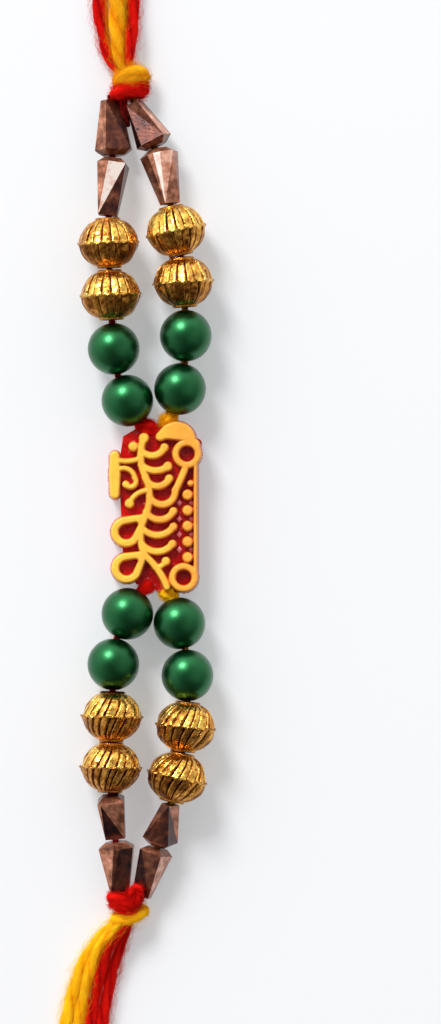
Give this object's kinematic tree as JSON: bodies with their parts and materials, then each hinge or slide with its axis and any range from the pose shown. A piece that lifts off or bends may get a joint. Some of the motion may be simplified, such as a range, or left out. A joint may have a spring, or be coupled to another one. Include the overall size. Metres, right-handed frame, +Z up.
{
  "type": "rakhi thread bracelet",
  "caption": "Thread bracelet with a raised moulded motif between two strings of pearl, fluted and faceted beads, wound knots and loose yarn ends for tying round a wrist.",
  "frame": {"origin": "middle of the motif's flat back, which lies on the surface", "axes": "+Y runs along the laid-out bracelet towards its upper knot, +Z points up out of the motif's ornamented face, and +X is to the right seen from above"},
  "size_m": [0.0241, 0.2788, 0.0093],
  "materials": {
    "red_plate": "glossy",
    "yellow_relief": "glossy",
    "green_pearl": "satin",
    "antique_gold": "metallised, satin, darkened in the flutes",
    "copper_bronze": "metallised, polished facets",
    "red_thread": "twisted thread",
    "yellow_thread": "twisted thread",
    "red_yarn": "fuzzy yarn",
    "yellow_yarn": "fuzzy yarn"
  },
  "bodies": {
    "root": {"motif_ground": "red_plate", "motif_relief": "yellow_relief", "pearl_top_left_inner": "green_pearl", "pearl_top_left_outer": "green_pearl", "pearl_top_right_inner": "green_pearl", "pearl_top_right_outer": "green_pearl", "pearl_bottom_left_inner": "green_pearl", "pearl_bottom_left_outer": "green_pearl", "pearl_bottom_right_inner": "green_pearl", "pearl_bottom_right_outer": "green_pearl", "gold_bead_top_left_inner": "antique_gold", "gold_bead_top_left_outer": "antique_gold", "gold_bead_top_right_inner": "antique_gold", "gold_bead_top_right_outer": "antique_gold", "gold_bead_bottom_left_inner": "antique_gold", "gold_bead_bottom_left_outer": "antique_gold", "gold_bead_bottom_right_inner": "antique_gold", "gold_bead_bottom_right_outer": "antique_gold", "bronze_bead_top_left_inner": "copper_bronze", "bronze_bead_top_left_outer": "copper_bronze", "bronze_bead_top_right_inner": "copper_bronze", "bronze_bead_top_right_outer": "copper_bronze", "bronze_bead_bottom_left_inner": "copper_bronze", "bronze_bead_bottom_left_outer": "copper_bronze", "bronze_bead_bottom_right_inner": "copper_bronze", "bronze_bead_bottom_right_outer": "copper_bronze", "thread_left": "red_thread", "thread_right": "yellow_thread", "top_knot_red": "red_yarn", "top_knot_yellow": "yellow_yarn", "bottom_knot_red": "red_yarn", "bottom_knot_yellow": "yellow_yarn", "top_yarn_red_left": "red_yarn", "top_yarn_yellow_upper": "yellow_yarn", "top_yarn_yellow_lower": "yellow_yarn", "top_yarn_red_right": "red_yarn", "bottom_yarn_yellow_left": "yellow_yarn", "bottom_yarn_yellow_right": "yellow_yarn", "bottom_yarn_red_left": "red_yarn", "bottom_yarn_red_right": "red_yarn"}
  },
  "joints": []
}
